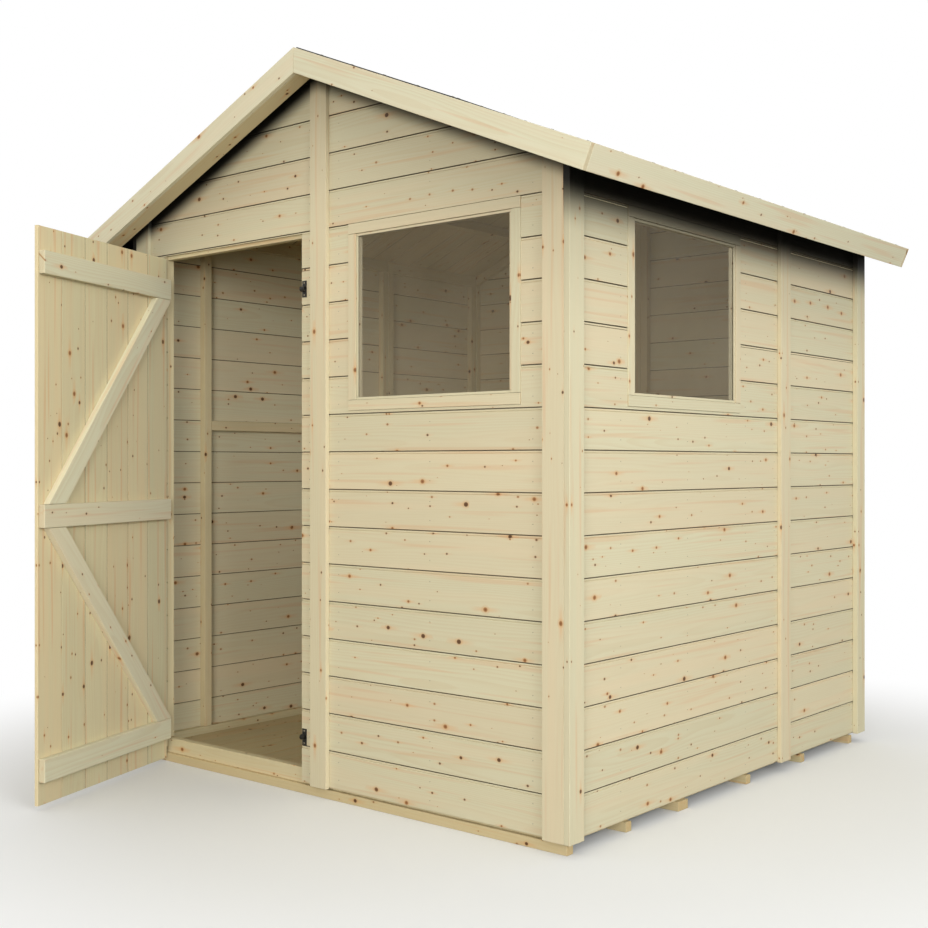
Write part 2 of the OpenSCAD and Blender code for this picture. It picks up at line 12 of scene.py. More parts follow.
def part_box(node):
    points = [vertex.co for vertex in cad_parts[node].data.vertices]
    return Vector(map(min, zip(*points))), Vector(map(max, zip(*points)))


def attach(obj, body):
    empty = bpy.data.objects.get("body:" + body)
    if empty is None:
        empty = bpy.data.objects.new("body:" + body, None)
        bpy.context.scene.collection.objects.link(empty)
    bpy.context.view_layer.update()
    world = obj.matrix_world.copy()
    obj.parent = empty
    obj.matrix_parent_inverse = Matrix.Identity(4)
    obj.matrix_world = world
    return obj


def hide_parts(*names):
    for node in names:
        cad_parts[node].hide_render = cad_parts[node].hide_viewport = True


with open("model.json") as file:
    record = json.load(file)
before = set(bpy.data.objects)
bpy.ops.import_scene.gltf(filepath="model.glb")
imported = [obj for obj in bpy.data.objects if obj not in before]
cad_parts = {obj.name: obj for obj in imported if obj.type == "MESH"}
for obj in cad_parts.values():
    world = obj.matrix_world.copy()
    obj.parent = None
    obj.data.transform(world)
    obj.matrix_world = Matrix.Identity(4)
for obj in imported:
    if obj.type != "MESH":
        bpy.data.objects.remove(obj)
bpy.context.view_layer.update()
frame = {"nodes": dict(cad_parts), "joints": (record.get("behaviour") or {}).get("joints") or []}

MM = 0.001
X = Vector((1, 0, 0))
Y = Vector((0, 1, 0))
Z = Vector((0, 0, 1))

# Camera of the photograph
CAMERA_PLACE = (2.8666, -2.7516, 1.020)
CAMERA_TURN = 40
LENS = 50

# Places that the solids give, in metres
FRONT_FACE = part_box("front_cladding_window_side")[0].y
REAR_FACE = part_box("rear_cladding_left")[1].y
SIDE_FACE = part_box("right_cladding_front")[1].x
CLADDING_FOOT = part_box("front_cladding_window_side")[0].z
FLOOR_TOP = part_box("floor_boards")[1].z
ROOF_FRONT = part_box("right_roof_boards")[0].y
ROOF_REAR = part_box("right_roof_boards")[1].y
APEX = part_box("right_roof_boards")[1].z
PIN = Vector(frame["joints"][0]["pos_m"]) * Vector((1, 1, 0))

# Boards and timbers, in millimetres
COURSE = 113.5
BOARD_W = 113
BOARD_T = 12
UNCUT = 1900
ROOF_BOARD = 1200
DOOR_BOARD = 1800
TRIM_GAP = 0.05
ARRIS = 1.2
JOINT_EASE = 0.3
ROOF_PITCH = 23

# The door, which hangs open at rest: its boards seen from the pin when it is shut
DOOR_OPEN = 70
DOOR_LEFT = -8.6
DOOR_FACE = 4.6

# Ironmongery, in millimetres: how high it sits, where the wall's plates face and how thick straps are
HINGES = (118, 866, 1614)
BOLTS = (176, 1561)
PLATE_FACE = -16.5
IRON_RISE = 2.5

# Screw holes, in millimetres: along a strap and a bolt, and as places on a hinge plate and a keep
STRAP_HOLES = (38, 95, 155, 215, 272)
BOLT_HOLES = (541, 645)
PLATE_HOLES = ((-806, -40), (-797, -14), (-806, 14), (-797, 40))
KEEP_HOLES = ((-73.5, -19), (-73.5, 19))


def srgb(red, green, blue):
    """A colour as it is seen on a screen, from 0 to 255, as linear light."""
    values = [c / 255 for c in (red, green, blue)]
    return tuple(c / 12.92 if c <= 0.04045 else ((c + 0.055) / 1.055) ** 2.4 for c in values) + (1,)


class Graph:
    """Adds nodes to a tree: inputs are sockets or plain values, by order or by name."""

    def __init__(self, tree):
        self.tree = tree

    def add(self, kind, *values, out=0, inputs=None, **settings):
        node = self.tree.nodes.new(kind)
        for key, value in settings.items():
            setattr(node, key, value)
        for key, value in [*enumerate(values), *(inputs or {}).items()]:
            socket = node.inputs[key]
            if isinstance(value, bpy.types.NodeSocket):
                self.tree.links.new(value, socket)
            else:
                socket.default_value = value
        return node.outputs[out]

    def math(self, operation, *values):
        return self.add("ShaderNodeMath", *values, operation=operation)

    def vector(self, operation, *values):
        return self.add("ShaderNodeVectorMath", *values, operation=operation)

    def parts(self, vector):
        node = self.tree.nodes.new("ShaderNodeSeparateXYZ")
        self.tree.links.new(vector, node.inputs[0])
        return node.outputs

    def step(self, value, low, high, to_low=0.0, to_high=1.0):
        """A smooth change from to_low at low to to_high at high."""
        return self.add("ShaderNodeMapRange", value, low, high, to_low, to_high,
                        interpolation_type="SMOOTHSTEP")

    def mix(self, factor, first, second, blend="MIX"):
        return self.add("ShaderNodeMix", out=2, inputs={0: factor, 6: first, 7: second},
                        data_type="RGBA", blend_type=blend)


def new_group(name, kind, inputs, outputs):
    """An empty node group with named sockets, and the Graph, inputs and output node to fill it."""
    tree = bpy.data.node_groups.new(name, kind)
    for label, socket_kind, value in inputs:
        item = tree.interface.new_socket(label, in_out="INPUT", socket_type=socket_kind)
        if value is not None:
            item.default_value = value
    for label, socket_kind in outputs:
        tree.interface.new_socket(label, in_out="OUTPUT", socket_type=socket_kind)
    group_in = tree.nodes.new("NodeGroupInput")
    group_out = tree.nodes.new("NodeGroupOutput")
    return tree, Graph(tree), group_in.outputs, group_out


# Shared effects of the timber

def make_pine_grain():
    """Growth rings, fibres and knots of a softwood board, in the board's own directions."""
    tree, g, given, result = new_group(
        "pine_grain", "ShaderNodeTree",
        [("Ring Width", "NodeSocketFloat", 0.0048), ("Ring Strength", "NodeSocketFloat", 0.22),
         ("Knot Size", "NodeSocketFloat", 0.0065), ("Pin Knot Size", "NodeSocketFloat", 0.0032),
         ("Streaks", "NodeSocketFloat", 0.32),
         ("Early Wood", "NodeSocketColor", srgb(212, 206, 176)),
         ("Late Wood", "NodeSocketColor", srgb(199, 177, 136)),
         ("Warm Wood", "NodeSocketColor", srgb(218, 204, 172))],
        [("Color", "NodeSocketColor"), ("Roughness", "NodeSocketFloat"), ("Height", "NodeSocketFloat")],
    )
    grain = g.add("ShaderNodeAttribute", attribute_name="grain", out=1)
    tone = g.add("ShaderNodeAttribute", attribute_name="tone", out=2)
    along, across, deep = g.parts(grain)

    def knots(cell, stretch, share, size):
        """Knots, one in a share of the cells: how far inside one, its streak, its ratio and a chance."""
        place = g.add("ShaderNodeCombineXYZ", g.math("DIVIDE", along, cell * stretch),
                      g.math("DIVIDE", g.math("ADD", across, deep), cell), 0.0)
        cells = g.tree.nodes.new("ShaderNodeTexVoronoi")
        cells.voronoi_dimensions = "2D"
        g.tree.links.new(place, cells.inputs["Vector"])
        cells.inputs["Scale"].default_value = 1
        chance, dark, _ = g.parts(cells.outputs["Color"])
        radius = g.math("MULTIPLY", g.step(chance, 1 - share, 1, 0.3, 1), size)
        present = g.math("GREATER_THAN", chance, 1 - share)
        radius = g.math("MAXIMUM", g.math("MULTIPLY", radius, present), 0.0001)
        away_x, away_y, _ = g.parts(g.vector("SUBTRACT", place, cells.outputs["Position"]))
        ratio = g.math("DIVIDE", g.math("MULTIPLY", cells.outputs["Distance"], cell), radius)
        beside = g.math("DIVIDE", g.math("MULTIPLY", g.math("ABSOLUTE", away_y), cell), radius)
        beyond = g.math("DIVIDE", g.math("MULTIPLY", g.math("ABSOLUTE", away_x), cell), radius)
        streak = g.math("MULTIPLY", g.step(beside, 1.6, 0.2), g.step(beyond, 9.0, 1.0))
        return g.step(ratio, 1.15, 0.85), g.step(ratio, 2.4, 0.9), streak, ratio, dark

    knot, near_knot, knot_streak, knot_ratio, knot_dark = knots(
        cell=0.105, stretch=1.2, share=0.5, size=given["Knot Size"])
    pin, near_pin, pin_streak, _, pin_dark = knots(
        cell=0.062, stretch=1.25, share=0.42, size=given["Pin Knot Size"])

    def noise(scale_along, scale_across):
        place = g.add("ShaderNodeCombineXYZ", g.math("MULTIPLY", along, scale_along),
                      g.math("MULTIPLY", across, scale_across), g.math("MULTIPLY", deep, scale_across))
        return g.add("ShaderNodeTexNoise", inputs={"Vector": place, "Scale": 1.0, "Detail": 1.0})

    radius = g.math("SQRT", g.math("ADD", g.math("POWER", across, 2), g.math("POWER", deep, 2)))
    bent = g.math("ADD", radius, g.math("MULTIPLY", noise(1.4, 9), 0.028))
    bent = g.math("ADD", bent, g.math("MULTIPLY", near_knot, 0.005))
    phase = g.math("FRACT", g.math("DIVIDE", bent, given["Ring Width"]))
    late = g.math("MULTIPLY", g.step(phase, 0.25, 0.9), g.step(phase, 1.0, 0.92))
    fibre = noise(7, 420)

    wood = g.mix(g.math("MULTIPLY", late, given["Ring Strength"]), given["Early Wood"], given["Late Wood"])
    warmth = g.math("ADD", g.math("MULTIPLY", g.step(noise(0.9, 18), 0.42, 0.68), 0.55),
                    g.step(tone, 0.1, 0.9, -0.1, 0.55))
    wood = g.mix(warmth, wood, given["Warm Wood"])
    streaky = g.math("MULTIPLY", g.step(noise(1.6, 60), 0.58, 0.72), given["Streaks"])
    wood = g.mix(streaky, wood, srgb(214, 168, 126))
    wood = g.mix(g.step(fibre, 0.35, 0.7, 0.0, 0.10), wood, given["Late Wood"])
    bright = g.step(g.math("FRACT", g.math("MULTIPLY", tone, 7)), 0, 1, 0.955, 1.0)
    wood = g.mix(1.0, wood, g.add("ShaderNodeCombineColor", bright, bright, bright), blend="MULTIPLY")

    streaks = g.math("MAXIMUM", g.math("MULTIPLY", knot_streak, 0.42), g.math("MULTIPLY", pin_streak, 0.22))
    wood = g.mix(streaks, wood, srgb(216, 168, 118))
    wood = g.mix(g.math("MULTIPLY", near_knot, 0.38), wood, srgb(210, 160, 106))
    core = g.add("ShaderNodeValToRGB", knot_ratio)
    ramp = core.node.color_ramp
    ramp.elements[0].color = srgb(108, 64, 34)
    ramp.elements[1].position = 1.0
    ramp.elements[1].color = srgb(186, 142, 94)
    ramp.elements.new(0.55).color = srgb(146, 96, 54)
    core = g.mix(g.step(knot_dark, 0.62, 0.72, 0.0, 0.8), core, srgb(58, 30, 17))
    wood = g.mix(g.math("MULTIPLY", knot, 0.92), wood, core)
    pin_core = g.mix(g.step(pin_dark, 0.45, 0.6), srgb(152, 108, 68), srgb(76, 46, 28))
    wood = g.mix(g.math("MULTIPLY", near_pin, 0.3), wood, srgb(196, 146, 94))
    wood = g.mix(g.math("MULTIPLY", pin, 0.85), wood, pin_core)

    end = g.add("ShaderNodeAttribute", attribute_name="end", out=2)
    wood = g.mix(g.math("MULTIPLY", end, 0.35), wood, srgb(188, 160, 112))
    # Faces deep in the board joints, marked as joint, are darkened toward dark brown: partly dirt, partly
    # painted shade.
    joint = g.add("ShaderNodeAttribute", attribute_name="joint", out=2)
    wood = g.mix(g.math("MULTIPLY", joint, 0.8), wood, srgb(74, 60, 38))

    links = g.tree.links
    links.new(wood, result.inputs["Color"])
    links.new(g.math("SUBTRACT", g.step(fibre, 0.3, 0.7, 0.66, 0.56), g.math("MULTIPLY", knot, 0.14)),
              result.inputs["Roughness"])
    links.new(fibre, result.inputs["Height"])
    return tree


PINE_GRAIN = make_pine_grain()


def new_material(name):
    """An empty material, its Graph and its Principled shader."""
    material = bpy.data.materials.new(name)
    material.use_nodes = True
    return material, Graph(material.node_tree), material.node_tree.nodes["Principled BSDF"]


def soffit_shade_mask(g, front_too):
    """Where the outer undersides are painted near-black as shade: 1 under the eaves, and where front_too says
    so under the front and rear overhang, else 0.
    """
    x, y, _ = g.parts(g.add("ShaderNodeTexCoord", out=3))
    beside = g.step(g.math("ABSOLUTE", x), SIDE_FACE, SIDE_FACE + 0.002)
    if not front_too:
        return g.math("MULTIPLY", beside, g.step(y, FRONT_FACE - 0.04, FRONT_FACE - 0.03))
    before = g.step(y, FRONT_FACE, FRONT_FACE - 0.002)
    behind = g.step(y, REAR_FACE, REAR_FACE + 0.002)
    return g.math("MAXIMUM", beside, g.math("MAXIMUM", before, behind))


def make_roof_shade():
    """The deep shade that the photograph shows on the outside of the walls right under the roof."""
    tree, g, given, result = new_group(
        "roof_shade", "ShaderNodeTree",
        [("Side Depth", "NodeSocketFloat", 0.098), ("Side Fade", "NodeSocketFloat", 0.13),
         ("Gable Depth", "NodeSocketFloat", 0.050), ("Gable Fade", "NodeSocketFloat", 0.060)],
        [("Light", "NodeSocketFloat")],
    )
    x, y, z = g.parts(g.add("ShaderNodeTexCoord", out=3))
    out = g.math("ABSOLUTE", x)
    slope = math.radians(ROOF_PITCH)
    top = g.math("SUBTRACT", APEX, g.math("MULTIPLY", out, math.tan(slope)))
    below = g.math("MULTIPLY", g.math("SUBTRACT", top, z), math.cos(slope))

    def faded(depth, fade):
        return g.step(g.math("DIVIDE", g.math("SUBTRACT", below, depth), fade), 0, 1, 0.015, 1.0)

    beside = g.math("GREATER_THAN", out, SIDE_FACE - 0.002)
    ends = g.math("MAXIMUM", g.math("LESS_THAN", y, FRONT_FACE + 0.010),
                  g.math("GREATER_THAN", y, REAR_FACE - 0.010))
    side = faded(given["Side Depth"], given["Side Fade"])
    gable = faded(given["Gable Depth"], given["Gable Fade"])
    light = g.math("MINIMUM", g.math("MAXIMUM", side, g.math("SUBTRACT", 1.0, beside)),
                   g.math("MAXIMUM", gable, g.math("SUBTRACT", 1.0, ends)))
    outside = g.math("MAXIMUM", beside, ends)
    overhang = g.math("MAXIMUM", g.step(below, 0.1, 0.5, 0.8, 1.0), g.math("SUBTRACT", 1.0, outside))
    g.tree.links.new(g.math("MULTIPLY", light, overhang), result.inputs[0])
    return tree


ROOF_SHADE = make_roof_shade()


def make_pine(name, bump=0.25, tint=(1, 1, 1, 1), soffit_shade=None, shaded=False, **grain_values):
    """Pine with its own values for the grain. Soffit_shade says where its outer part is painted near-black
    as shade under the overhang, round all walls or at the sides, and shaded is for what stands outside right
    under the roof, which gets painted shade."""
    material, g, shader = new_material(name)
    group = g.tree.nodes.new("ShaderNodeGroup")
    group.node_tree = PINE_GRAIN
    for key, value in grain_values.items():
        group.inputs[key.replace("_", " ").title()].default_value = value
    color = g.mix(1.0, group.outputs["Color"], tint, blend="MULTIPLY")
    # Painted shade: the parts of roof boards and rails beyond the walls are coloured near-black, as the
    # shadow under the overhang.
    if soffit_shade:
        color = g.mix(soffit_shade_mask(g, soffit_shade == "all round"), color, srgb(9, 9, 8))
    if shaded:
        shade = g.tree.nodes.new("ShaderNodeGroup")
        shade.node_tree = ROOF_SHADE
        color = g.mix(shade.outputs["Light"], srgb(4, 4, 3), color)
    links = g.tree.links
    links.new(color, shader.inputs["Base Color"])
    links.new(group.outputs["Roughness"], shader.inputs["Roughness"])
    raised = g.add("ShaderNodeBump", inputs={"Strength": bump, "Distance": 0.0006,
                                             "Height": group.outputs["Height"]})
    links.new(raised, shader.inputs["Normal"])
    shader.inputs["Specular IOR Level"].default_value = 0.28
    return material


def make_felt():
    """Black roofing felt, faced with fine mineral chips."""
    material, g, shader = new_material("mineral_felt")
    place = g.add("ShaderNodeTexCoord", out=3)
    chips = g.tree.nodes.new("ShaderNodeTexVoronoi")
    g.tree.links.new(place, chips.inputs["Vector"])
    chips.inputs["Scale"].default_value = 700
    patches = g.add("ShaderNodeTexNoise", inputs={"Vector": place, "Scale": 3.0, "Detail": 4.0})
    shade = g.add("ShaderNodeSeparateColor", chips.outputs["Color"])
    color = g.mix(shade, srgb(30, 30, 31), srgb(66, 66, 68))
    color = g.mix(g.step(patches, 0.4, 0.7, 0, 0.4), color, srgb(34, 34, 35))
    raised = g.add("ShaderNodeBump", inputs={"Strength": 0.5, "Distance": 0.0006,
                                             "Height": chips.outputs["Distance"]})
    g.tree.links.new(color, shader.inputs["Base Color"])
    g.tree.links.new(g.step(shade, 0, 1, 0.8, 0.95), shader.inputs["Roughness"])
    g.tree.links.new(raised, shader.inputs["Normal"])
    return material


def make_iron(name, base, edge, rough):
    """Powder-coated ironmongery with a faint orange-peel surface."""
    material, g, shader = new_material(name)
    place = g.add("ShaderNodeTexCoord", out=3)
    peel = g.add("ShaderNodeTexNoise", inputs={"Vector": place, "Scale": 900.0, "Detail": 2.0})
    worn = g.add("ShaderNodeTexNoise", inputs={"Vector": place, "Scale": 60.0, "Detail": 4.0})
    g.tree.links.new(g.mix(g.step(worn, 0.5, 0.75, 0, 0.5), base, edge), shader.inputs["Base Color"])
    g.tree.links.new(g.step(worn, 0.3, 0.7, rough - 0.06, rough + 0.08), shader.inputs["Roughness"])
    raised = g.add("ShaderNodeBump", inputs={"Strength": 0.2, "Distance": 0.0002, "Height": peel})
    g.tree.links.new(raised, shader.inputs["Normal"])
    return material


def make_glazing():
    """A clear sheet with a grey cast that shows the room behind it and a little of the sky."""
    material, g, shader = new_material("clear_glazing")
    place = g.add("ShaderNodeTexCoord", out=3)
    haze = g.add("ShaderNodeTexNoise", inputs={"Vector": place, "Scale": 5.0, "Detail": 3.0})
    color = g.mix(haze, srgb(128, 119, 100), srgb(140, 130, 110))
    g.tree.links.new(color, shader.inputs["Base Color"])
    g.tree.links.new(g.step(haze, 0.3, 0.7, 0.15, 0.19), shader.inputs["Alpha"])
    shader.inputs["Roughness"].default_value = 0.05
    shader.inputs["Specular IOR Level"].default_value = 0.35
    return material


planed_pine = make_pine("planed_pine", Early_Wood=srgb(218, 215, 188), Warm_Wood=srgb(221, 210, 182))
wall_pine = make_pine("wall_pine", shaded=True)
door_pine = make_pine("door_pine", Streaks=0.5, Early_Wood=srgb(214, 207, 172), Warm_Wood=srgb(220, 204, 166))
frame_pine = make_pine("frame_pine", bump=0.35, tint=srgb(250, 245, 234))
roof_pine = make_pine("roof_pine", bump=0.35, tint=srgb(247, 241, 228), soffit_shade="all round")
rail_pine = make_pine("rail_pine", bump=0.35, tint=srgb(247, 241, 228), soffit_shade="sides")
floor_pine = make_pine("floor_pine", bump=0.35, tint=srgb(243, 234, 216))
mineral_felt = make_felt()
black_coat = make_iron("black_coat", srgb(24, 24, 25), srgb(40, 40, 41), 0.42)
nail_steel = make_iron("nail_steel", srgb(132, 124, 106), srgb(150, 142, 120), 0.5)
clear_glazing = make_glazing()


# Timbers

def islands_of(bm):
    """The separate solids of a mesh, each as a list of vertices, in a fixed order."""
    seen = set()
    islands = []
    for start in bm.verts:
        if start in seen:
            continue
        seen.add(start)
        island = [start]
        for vert in island:
            for edge in vert.link_edges:
                other = edge.other_vert(vert)
                if other not in seen:
                    seen.add(other)
                    island.append(other)
        islands.append(island)
    return sorted(islands, key=lambda verts: tuple(round(c, 3) for c in centre_of(verts)))


def centre_of(verts):
    """The middle of the box round some vertices."""
    low = Vector([min(v.co[i] for v in verts) for i in range(3)])
    high = Vector([max(v.co[i] for v in verts) for i in range(3)])
    return (low + high) / 2


def timber_axes(verts):
    """Directions along and through a timber: its longest edge and its widest face tell."""
    edges = {edge for vert in verts for edge in vert.link_edges}
    faces = {face for vert in verts for face in vert.link_faces}
    longest = max(edges, key=lambda edge: (round(edge.calc_length(), 5), tuple(edge.verts[0].co)))
    along = (longest.verts[1].co - longest.verts[0].co).normalized()
    sides = [face for face in faces if abs(face.normal.dot(along)) < 0.1]
    widest = max(sides, key=lambda face: (round(face.calc_area(), 7), tuple(face.normal)))
    through = widest.normal.copy()
    return along, through.cross(along).normalized(), through


def store_grain(mesh, name, axes=None, origin=None, step=None):
    """Gives each timber of the mesh its own cut of wood, as attributes that the material reads.

    Pieces of a sheet lie on the steps from its origin, and those of one step are one board. The
    faces deep in the joints of a sheet are marked, and the material darkens them as dirt and painted shade."""
    bm = bmesh.new()
    bm.from_mesh(mesh)
    bm.normal_update()
    joint_layer = bm.faces.layers.float.new("joint")
    if origin is not None:
        for face in joint_faces(bm, axes, origin, step):
            face[joint_layer] = 1.0
    grain_layer = bm.verts.layers.float_vector.new("grain")
    tone_layer = bm.verts.layers.float.new("tone")
    end_layer = bm.faces.layers.float.new("end")
    for number, verts in enumerate(islands_of(bm)):
        along, across, through = axes or timber_axes(verts)
        start = centre_of(verts)
        key = number
        if origin is not None:
            key = round((start - origin).dot(across) / step - 0.5)
            start = origin + across * step * (key + 0.5)
        draw = random.Random(f"{name} {key}")
        from_pith = Vector((draw.uniform(0, 40), draw.uniform(-0.05, 0.05), draw.uniform(0.02, 0.09)))
        tone = draw.random()
        for vert in verts:
            rel = vert.co - start
            vert[grain_layer] = Vector((rel.dot(along), rel.dot(across), rel.dot(through))) + from_pith
            vert[tone_layer] = tone
        for face in {face for vert in verts for face in vert.link_faces}:
            face[end_layer] = 1.0 if abs(face.normal.dot(along)) > 0.8 else 0.0
    bm.to_mesh(mesh)
    bm.free()


def joint_faces(bm, axes, origin, step):
    """Faces of the tongues, grooves and sides of boards, without the edges of the whole sheet."""
    along, across, through = axes
    reach, surface, rim = 0.012, 0.0026, 0.002
    widths = [(vert.co - origin).dot(across) for vert in bm.verts]
    thickness = max((vert.co - origin).dot(through) for vert in bm.verts)
    low, high = min(widths) + rim, max(widths) - rim
    for face in bm.faces:
        centre = face.calc_center_median() - origin
        width, depth = centre.dot(across), centre.dot(through)
        from_joint = abs(width - round(width / step) * step)
        inner = surface < depth < thickness - surface and low < width < high
        if inner and from_joint < reach and abs(face.normal.dot(along)) < 0.5:
            yield face


def add_piece(name, mesh, material, body, slot, *nodes):
    """Puts a finished mesh in the scene as a piece that stands for CAD nodes."""
    piece = bpy.data.objects.new(name, mesh)
    bpy.context.scene.collection.objects.link(piece)
    mesh.materials.clear()
    mesh.materials.append(material)
    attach(piece, body)
    if nodes:
        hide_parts(*nodes)
    return piece


def ease_in(bm, depth):
    """Moves every face of the timbers inwards, so that a thin line shows where two meet."""
    bm.normal_update()
    moves = [(vert, vert.normal * vert.calc_shell_factor() * depth) for vert in bm.verts]
    for vert, move in moves:
        vert.co -= move


def dress_timbers(node, material, slot, body="shed", arris=ARRIS):
    """The timbers of a CAD node with eased edges and their own grain."""
    bm = bmesh.new()
    bm.from_mesh(frame["nodes"][node].data)
    bmesh.ops.remove_doubles(bm, verts=bm.verts, dist=0.00002)
    bmesh.ops.dissolve_limit(bm, angle_limit=math.radians(1), verts=bm.verts, edges=bm.edges)
    ease_in(bm, JOINT_EASE * MM)
    bmesh.ops.bevel(bm, geom=bm.edges[:], offset=arris * MM, offset_type="OFFSET", segments=2,
                    profile=0.5, affect="EDGES", clamp_overlap=True)
    mesh = bpy.data.meshes.new(node + "_timbers")
    bm.to_mesh(mesh)
    bm.free()
    store_grain(mesh, node)
    return add_piece(node + "_timbers", mesh, material, body, slot, node)


# Boards that repeat across a sheet

def make_board_sheet_tree():
    """Repeats the board that comes in and cuts the boards to the outline of the sheet."""
    tree, g, given, result = new_group(
        "boards_in_a_sheet", "GeometryNodeTree",
        [("Board", "NodeSocketGeometry", None), ("Boards", "NodeSocketInt", 4),
         ("Step", "NodeSocketVector", None), ("Sheet", "NodeSocketObject", None),
         ("Finish", "NodeSocketMaterial", None)],
        [("Geometry", "NodeSocketGeometry")],
    )
    places = g.add("GeometryNodeMeshLine", mode="OFFSET",
                   inputs={"Count": given["Boards"], "Offset": given["Step"]})
    boards = g.add("GeometryNodeInstanceOnPoints",
                   inputs={"Points": places, "Instance": given["Board"]})
    boards = g.add("GeometryNodeRealizeInstances", boards)
    sheet = g.add("GeometryNodeObjectInfo", inputs={"Object": given["Sheet"]}, out=4)
    sheet = g.add("GeometryNodeMergeByDistance", inputs={"Geometry": sheet, "Distance": 0.00002})
    cut = g.tree.nodes.new("GeometryNodeMeshBoolean")
    cut.operation = "INTERSECT"
    cut.solver = "EXACT"
    g.tree.links.new(boards, cut.inputs["Mesh 2"])
    g.tree.links.new(sheet, cut.inputs["Mesh 2"])
    whole = g.add("GeometryNodeRealizeInstances", cut.outputs[0])
    finished = g.add("GeometryNodeSetMaterial", inputs={"Geometry": whole, "Material": given["Finish"]})
    g.tree.links.new(finished, result.inputs[0])
    return tree


def make_heads_tree():
    """Sets a small bevelled head on every point, turned to the way that the point faces."""
    tree, g, given, result = new_group(
        "heads_on_points", "GeometryNodeTree",
        [("Points", "NodeSocketGeometry", None), ("Radius", "NodeSocketFloat", 0.002),
         ("Rise", "NodeSocketFloat", 0.0005), ("Finish", "NodeSocketMaterial", None)],
        [("Geometry", "NodeSocketGeometry")],
    )
    head = g.add("GeometryNodeMeshCone", inputs={"Vertices": 10, "Radius Top": 0.72,
                                                 "Radius Bottom": 1.0, "Depth": 1.0})
    size = g.add("ShaderNodeCombineXYZ", given["Radius"], given["Radius"], given["Rise"])
    head = g.add("GeometryNodeTransform", inputs={"Geometry": head, "Scale": size})
    facing = g.add("GeometryNodeInputNamedAttribute", data_type="FLOAT_VECTOR",
                   inputs={"Name": "facing"})
    turn = g.add("FunctionNodeAlignRotationToVector", axis="Z", inputs={"Vector": facing})
    heads = g.add("GeometryNodeInstanceOnPoints",
                  inputs={"Points": given["Points"], "Instance": head, "Rotation": turn})
    heads = g.add("GeometryNodeRealizeInstances", heads)
    finished = g.add("GeometryNodeSetMaterial", inputs={"Geometry": heads, "Material": given["Finish"]})
    g.tree.links.new(finished, result.inputs[0])
    return tree


BOARD_SHEET = make_board_sheet_tree()
HEADS = make_heads_tree()


def run_tree(mesh, tree, **values):
    """The mesh that a Geometry Nodes tree makes from another."""
    holder = bpy.data.objects.new("work_" + tree.name, mesh)
    bpy.context.scene.collection.objects.link(holder)
    modifier = holder.modifiers.new("nodes", "NODES")
    modifier.node_group = tree
    for item in tree.interface.items_tree:
        if item.in_out == "INPUT" and item.name in values:
            modifier[item.identifier] = values[item.name]
    evaluated = holder.evaluated_get(bpy.context.evaluated_depsgraph_get())
    made = bpy.data.meshes.new_from_object(evaluated)
    bpy.data.objects.remove(holder)
    return made


def extrude_profile(profile, origin, along, across, inward, length):
    """A board from its profile, given as places across and through it in millimetres."""
    bm = bmesh.new()
    ends = [[bm.verts.new(origin + along * s + (across * a + inward * d) * MM) for a, d in profile]
            for s in (0, length)]
    count = len(profile)
    for i in range(count):
        j = (i + 1) % count
        bm.faces.new((ends[0][i], ends[0][j], ends[1][j], ends[1][i]))
    for end in ends:
        bm.faces.new(end)
    bmesh.ops.recalc_face_normals(bm, faces=bm.faces)
    mesh = bpy.data.meshes.new("board")
    bm.to_mesh(mesh)
    bm.free()
    return mesh


def shiplap_profile():
    """Across and inwards: a face, a fine notch, a sunk band, and a tongue behind the next lip."""
    ease, lip_t, lip_h = 0.5, 6.6, 8.3
    face_top, notch, notch_in = 103.4, 104.7, 3.4
    band_foot, band_top, band_in = 106.0, 110.3, 1.6
    tongue_in, tongue_top = 7.0, COURSE + 5.2
    back = BOARD_T - 2 * TRIM_GAP
    return [(ease, 0), (face_top, 0), (notch, notch_in), (band_foot, band_in), (band_top, band_in),
            (band_top, tongue_in), (tongue_top, tongue_in), (tongue_top, back), (lip_h, back),
            (lip_h, lip_t), (0, lip_t), (0, ease)]


def matched_profile():
    """A flush board with a tongue, a groove and eased edges on both faces."""
    side, ease, tongue = 1.1, 0.6, 5
    groove = tongue + side + 0.4
    back = BOARD_T - 2 * TRIM_GAP
    low, high, play = 5.2, 7.0, 0.3
    right = BOARD_W - side
    return [(side + ease, 0), (right - ease, 0), (right, ease), (right, low), (BOARD_W + tongue, low),
            (BOARD_W + tongue, high), (right, high), (right, back - ease), (right - ease, back),
            (side + ease, back), (side, back - ease), (side, high + play), (groove, high + play),
            (groove, low - play), (side, low - play), (side, ease)]


def thin_profile():
    """The same board where only 9 mm are to be had, as in the floor."""
    return [(across, deep * 0.75) for across, deep in matched_profile()]


def board_sheet(name, node, profile, start, along, across, inward, length, step, count,
                material, slot, body="shed", cut_from=None):
    """The boards of a wall, door, floor or roof, cut to the outline of their CAD node.

    The start is in metres, and length and step are in millimetres. Sheets with the same cut_from
    are cut from the same boards."""
    start = start + inward * TRIM_GAP * MM
    board = extrude_profile(profile, start, along, across, inward, length * MM)
    mesh = run_tree(board, BOARD_SHEET, Boards=count, Step=across * step * MM,
                    Sheet=frame["nodes"][node], Finish=material)
    store_grain(mesh, cut_from or name, (along, across, inward), start, step * MM)
    return add_piece(name, mesh, material, body, slot, node)


def clad(node, along, outward, start, cut_from=None):
    """The shiplap boards of one stretch of wall."""
    board_sheet(node + "_boards", node, shiplap_profile(), Vector(start), along, Z, -outward,
                UNCUT, COURSE, 20, wall_pine, "cladding_timber", cut_from=cut_from)


